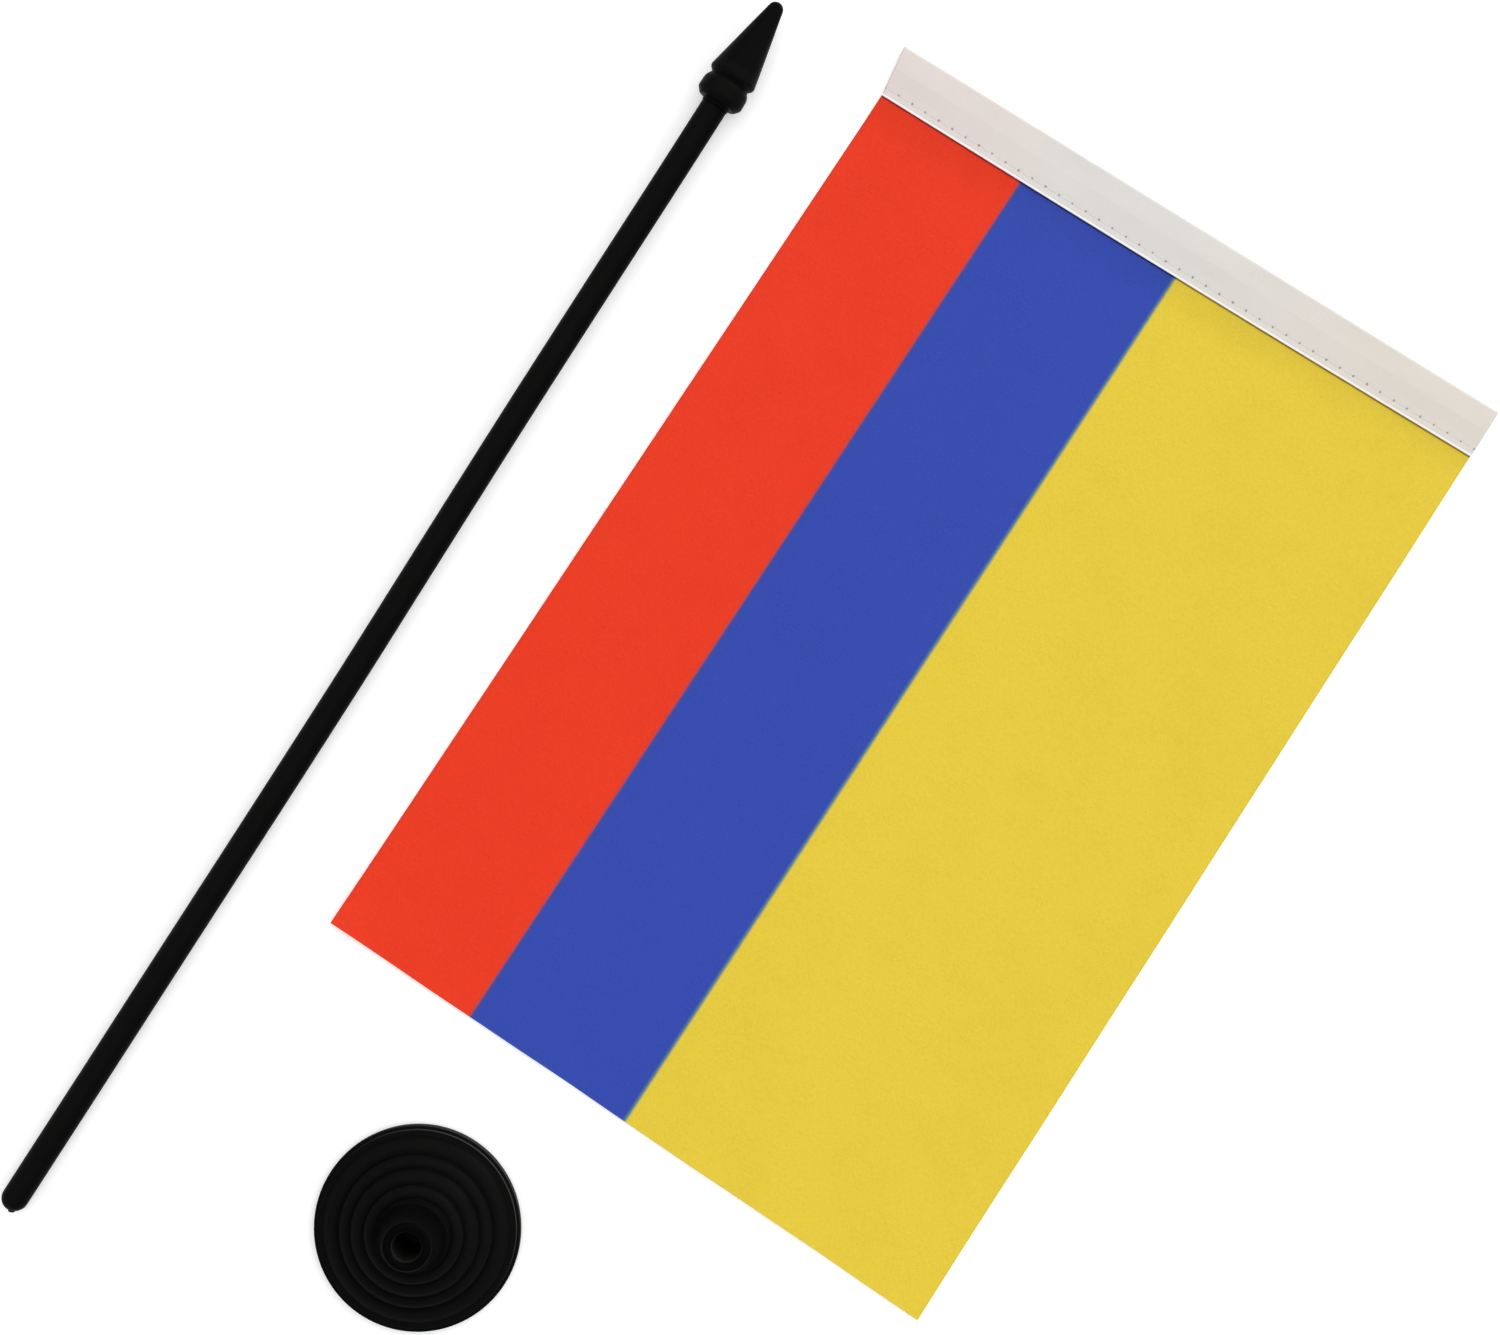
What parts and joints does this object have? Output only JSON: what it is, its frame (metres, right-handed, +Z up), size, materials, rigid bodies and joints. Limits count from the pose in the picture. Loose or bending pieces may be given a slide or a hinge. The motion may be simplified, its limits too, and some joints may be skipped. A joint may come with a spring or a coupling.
{
  "type": "desk flag stand",
  "caption": "Small desk flag with a stepped round base, a spear-topped pole and a sleeved cloth flag, taken apart and laid flat.",
  "frame": {"origin": "centre of the base's flat underside, on the surface that every piece lies on", "axes": "+Z up out of the base; +Y along the lying pole, foot to finial; +X from the pole towards the flag"},
  "size_m": [0.1694, 0.2938, 0.02],
  "materials": {
    "black_plastic": "satin injection-moulded black polystyrene",
    "zinc_plated_steel": "plain zinc plate, not visible when assembled",
    "printed_cloth": "polyester satin cloth printed through in red, blue and yellow stripes; the colour given is the yellow half's",
    "white_cloth": "plain white polyester cloth",
    "white_thread": "spun polyester sewing thread"
  },
  "bodies": {
    "base": {"base_shell": "black_plastic", "base_plate": "black_plastic", "ballast_washer": "zinc_plated_steel"},
    "pole": {"pole_rod": "black_plastic", "finial": "black_plastic"},
    "flag": {"flag_field": "printed_cloth", "flag_sleeve": "white_cloth", "sleeve_stitching": "white_thread"}
  },
  "joints": [
    {"name": "pole_lift", "type": "slide", "parent": "base", "child": "pole", "axis": [0, 0, 1], "range_m": [0, 0.1]},
    {"name": "flag_lift", "type": "slide", "parent": "base", "child": "flag", "axis": [0, 0, 1], "range_m": [0, 0.1]}
  ]
}
